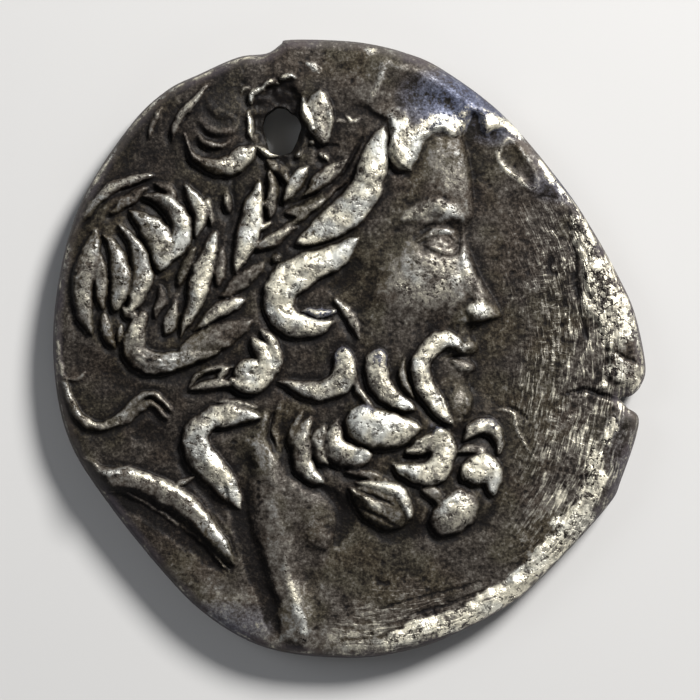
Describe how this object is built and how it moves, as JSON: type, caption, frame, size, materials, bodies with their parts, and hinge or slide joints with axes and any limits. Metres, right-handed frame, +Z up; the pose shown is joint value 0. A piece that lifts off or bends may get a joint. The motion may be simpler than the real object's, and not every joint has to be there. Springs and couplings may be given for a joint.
{
  "type": "stater",
  "caption": "Worn ancient silver stater: irregular struck flan, bearded laurel-crowned head in high relief, plain wreath reverse, pierced near the top.",
  "frame": {"origin": "middle of the coin's outline, on the plane that its reverse lies on", "axes": "+Z up through the obverse, +Y towards the top of the head, +X towards the front of the face"},
  "size_m": [0.023, 0.024, 0.0023],
  "materials": {
    "silver": "old silver, bright on the worn high points, dark grey-brown patina in the field and the recesses"
  },
  "bodies": {
    "root": {"coin": "silver"}
  },
  "joints": []
}
